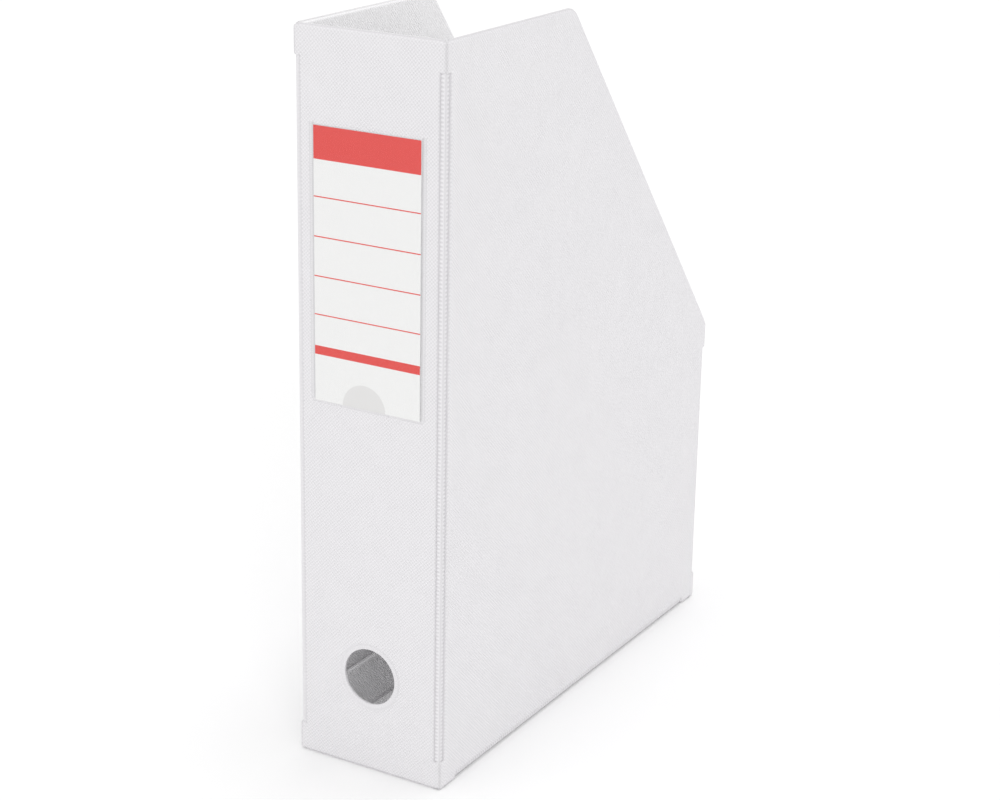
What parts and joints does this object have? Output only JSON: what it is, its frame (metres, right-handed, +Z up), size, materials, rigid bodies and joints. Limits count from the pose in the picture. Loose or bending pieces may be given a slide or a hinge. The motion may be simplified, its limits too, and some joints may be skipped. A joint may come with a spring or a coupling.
{
  "type": "folding magazine file",
  "caption": "Upright folding magazine file of foil-covered board with a slanted open back, finger hole and label pocket on the spine.",
  "frame": {"origin": "on the ground under the middle of the standing file", "axes": "+Z up; the spine with the label faces -Y; +X is the side that the base hinges on, on the right when the spine is looked at"},
  "size_m": [0.072, 0.2428, 0.318],
  "materials": {
    "foil": "white canvas-embossed PVC foil, satin",
    "board": "grey bookbinding board",
    "film": "clear glossy PVC film",
    "card": "white uncoated label card with red header and rules"
  },
  "bodies": {
    "base": {"base_board": "board", "base_outer_foil": "foil", "base_inner_foil": "foil", "base_side_weld": "foil", "base_flap_weld": "foil"},
    "right_side": {"right_side_board": "board", "right_side_outer_foil": "foil", "right_side_inner_foil": "foil", "right_side_base_weld": "foil", "right_side_spine_weld": "foil", "right_side_rear_weld": "foil"},
    "spine": {"spine_board": "board", "spine_outer_foil": "foil", "spine_inner_foil": "foil", "spine_left_weld": "foil", "spine_right_weld": "foil", "finger_hole_weld": "foil", "label_pocket": "film"},
    "left_side": {"left_side_board": "board", "left_side_outer_foil": "foil", "left_side_inner_foil": "foil", "left_side_rear_weld": "foil", "left_side_spine_weld": "foil"},
    "rear_wall": {"rear_wall_board": "board", "rear_wall_outer_foil": "foil", "rear_wall_inner_foil": "foil", "rear_wall_right_weld": "foil", "rear_wall_left_weld": "foil"},
    "tuck_flap": {"tuck_flap_board": "board", "tuck_flap_outer_foil": "foil", "tuck_flap_inner_foil": "foil", "tuck_flap_base_weld": "foil"},
    "label": {"label_card": "card"}
  },
  "joints": [
    {"name": "side_fold", "type": "hinge", "parent": "base", "child": "right_side", "pos_m": [0.036, 0, 0], "axis": [0, 1, 0], "range_deg": [0, 90]},
    {"name": "spine_fold", "type": "hinge", "parent": "right_side", "child": "spine", "pos_m": [0.03365, -0.11828, 0.159], "axis": [0, 0, -1], "range_deg": [0, 90]},
    {"name": "left_fold", "type": "hinge", "parent": "spine", "child": "left_side", "pos_m": [-0.036, -0.12062, 0.159], "axis": [0, 0, 1], "range_deg": [0, 90]},
    {"name": "rear_fold", "type": "hinge", "parent": "right_side", "child": "rear_wall", "pos_m": [0.036, 0.12137, 0.073], "axis": [0, 0, -1], "range_deg": [0, 90]},
    {"name": "flap_fold", "type": "hinge", "parent": "base", "child": "tuck_flap", "pos_m": [-0.03105, 0, 0.00235], "axis": [0, 1, 0], "range_deg": [0, 90]},
    {"name": "label_slide", "type": "slide", "parent": "spine", "child": "label", "axis": [0, 0, 1], "range_m": [0, 0.12]}
  ],
  "couplings": [
    {"joint": "spine_fold", "follows": "side_fold", "ratio": 1},
    {"joint": "left_fold", "follows": "side_fold", "ratio": 1},
    {"joint": "rear_fold", "follows": "side_fold", "ratio": 1},
    {"joint": "flap_fold", "follows": "side_fold", "ratio": 1}
  ]
}
